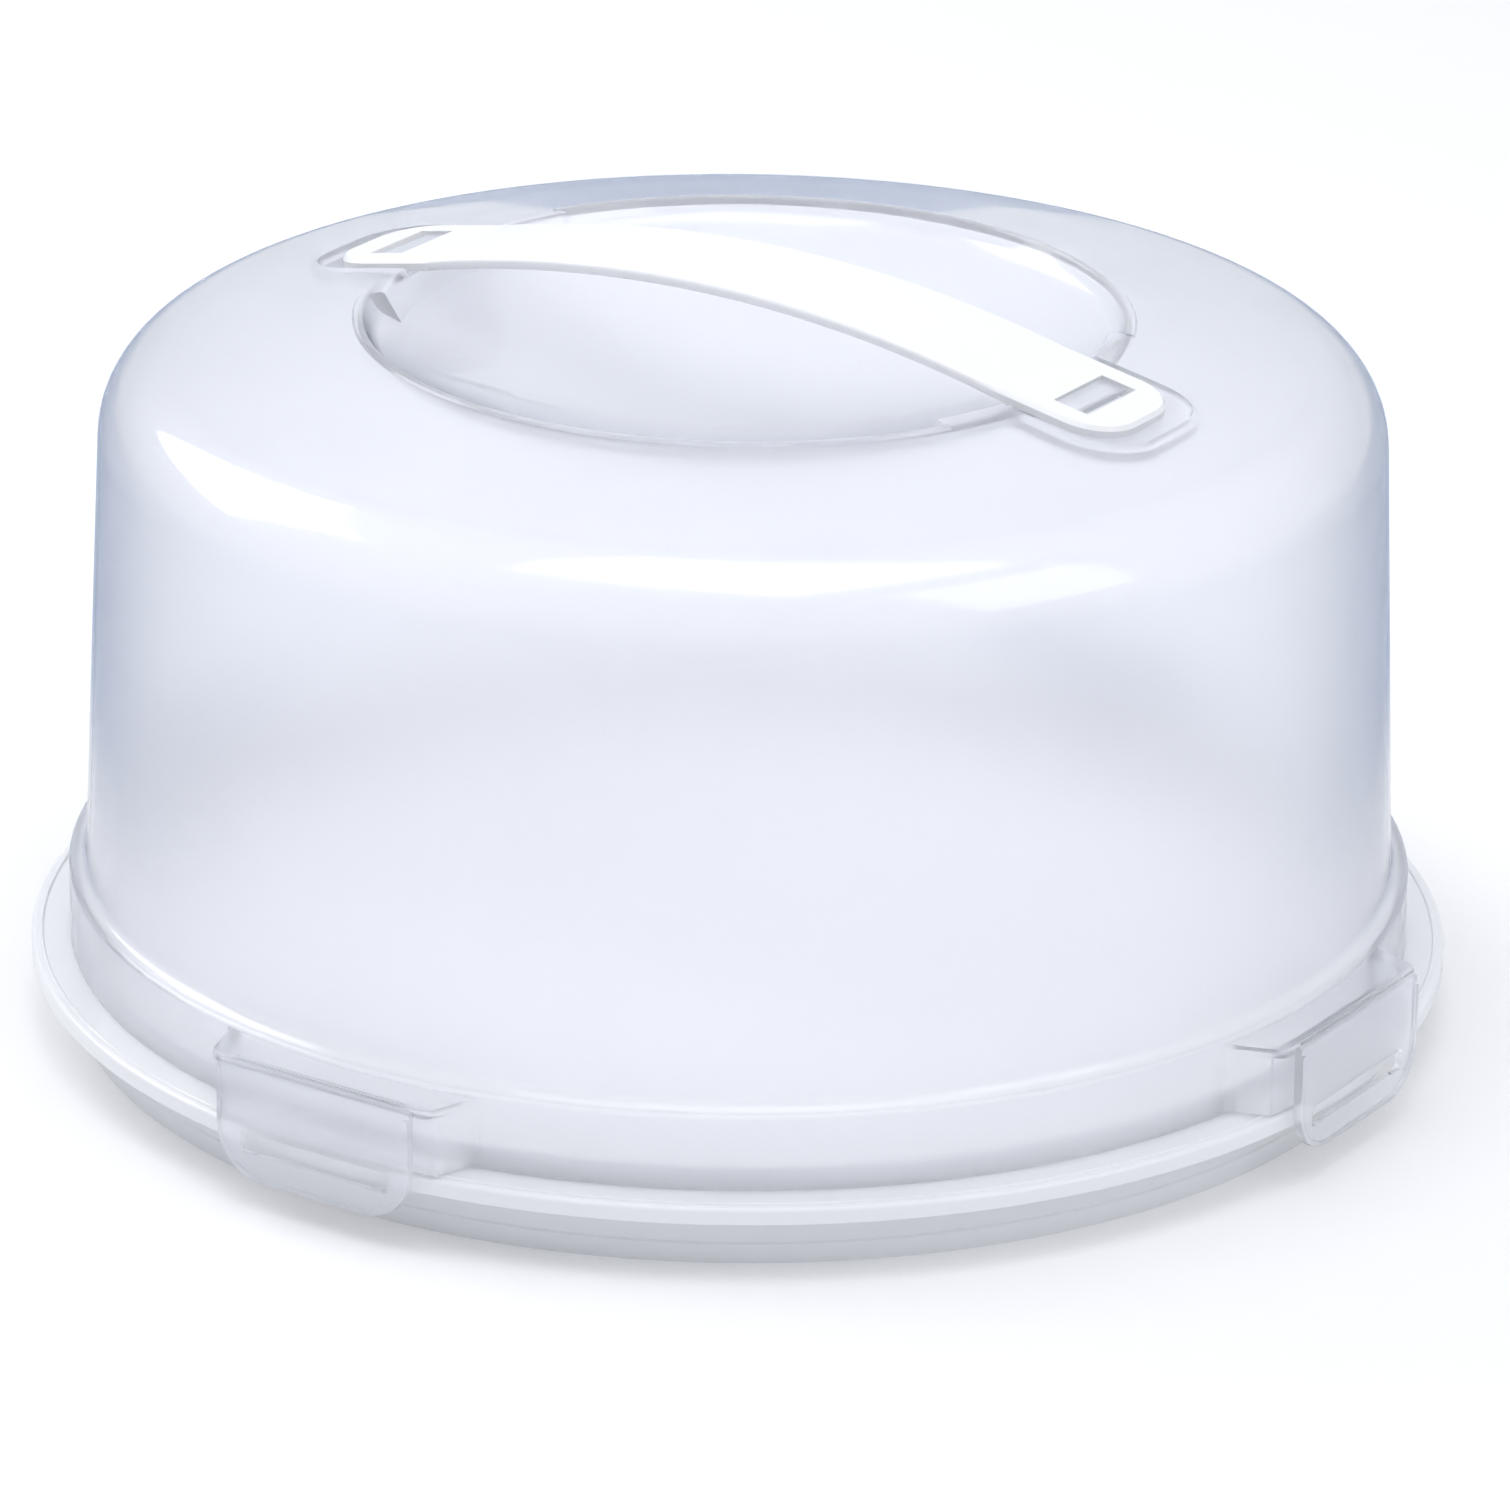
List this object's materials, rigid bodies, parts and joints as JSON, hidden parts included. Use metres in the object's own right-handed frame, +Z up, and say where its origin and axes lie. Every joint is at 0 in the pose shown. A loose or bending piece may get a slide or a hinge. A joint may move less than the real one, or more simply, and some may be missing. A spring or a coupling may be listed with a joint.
{
  "type": "cake carrier",
  "caption": "Round cake carrier: white footed tray, translucent lift-off dome with a hand dish and carrying strap in its top, and hinged clips that snap over the tray's rim.",
  "frame": {"origin": "centre of the foot ring on the table", "axes": "+Z up along the carrier's axis, X along the carrying strap, Y across it; the clips lie on +X, -X, +Y and -Y"},
  "size_m": [0.3452, 0.3452, 0.1828],
  "materials": {
    "tray": "smooth, opaque white",
    "dome": "smooth, translucent milky",
    "strap": "smooth, opaque white"
  },
  "bodies": {
    "tray": {"base_tray": "tray"},
    "lid": {"dome_lid": "dome"},
    "handle": {"carry_handle": "strap"},
    "front_clip": {"clip_front": "dome"},
    "right_clip": {"clip_right": "dome"},
    "back_clip": {"clip_back": "dome"},
    "left_clip": {"clip_left": "dome"}
  },
  "joints": [
    {"name": "lid_lift", "type": "slide", "parent": "tray", "child": "lid", "axis": [0, 0, 1], "range_m": [0, 0.2]},
    {"name": "handle_lift", "type": "slide", "parent": "lid", "child": "handle", "axis": [0, 0, 1], "range_m": [0, 0.002]},
    {"name": "front_clip_hinge", "type": "hinge", "parent": "lid", "child": "front_clip", "pos_m": [0, -0.1712, 0.0345], "axis": [-1, 0, 0], "range_deg": [-3.5, 160]},
    {"name": "right_clip_hinge", "type": "hinge", "parent": "lid", "child": "right_clip", "pos_m": [0.1712, 0, 0.0345], "axis": [0, -1, 0], "range_deg": [-3.5, 160]},
    {"name": "back_clip_hinge", "type": "hinge", "parent": "lid", "child": "back_clip", "pos_m": [0, 0.1712, 0.0345], "axis": [1, 0, 0], "range_deg": [-3.5, 160]},
    {"name": "left_clip_hinge", "type": "hinge", "parent": "lid", "child": "left_clip", "pos_m": [-0.1712, 0, 0.0345], "axis": [0, 1, 0], "range_deg": [-3.5, 160]}
  ]
}
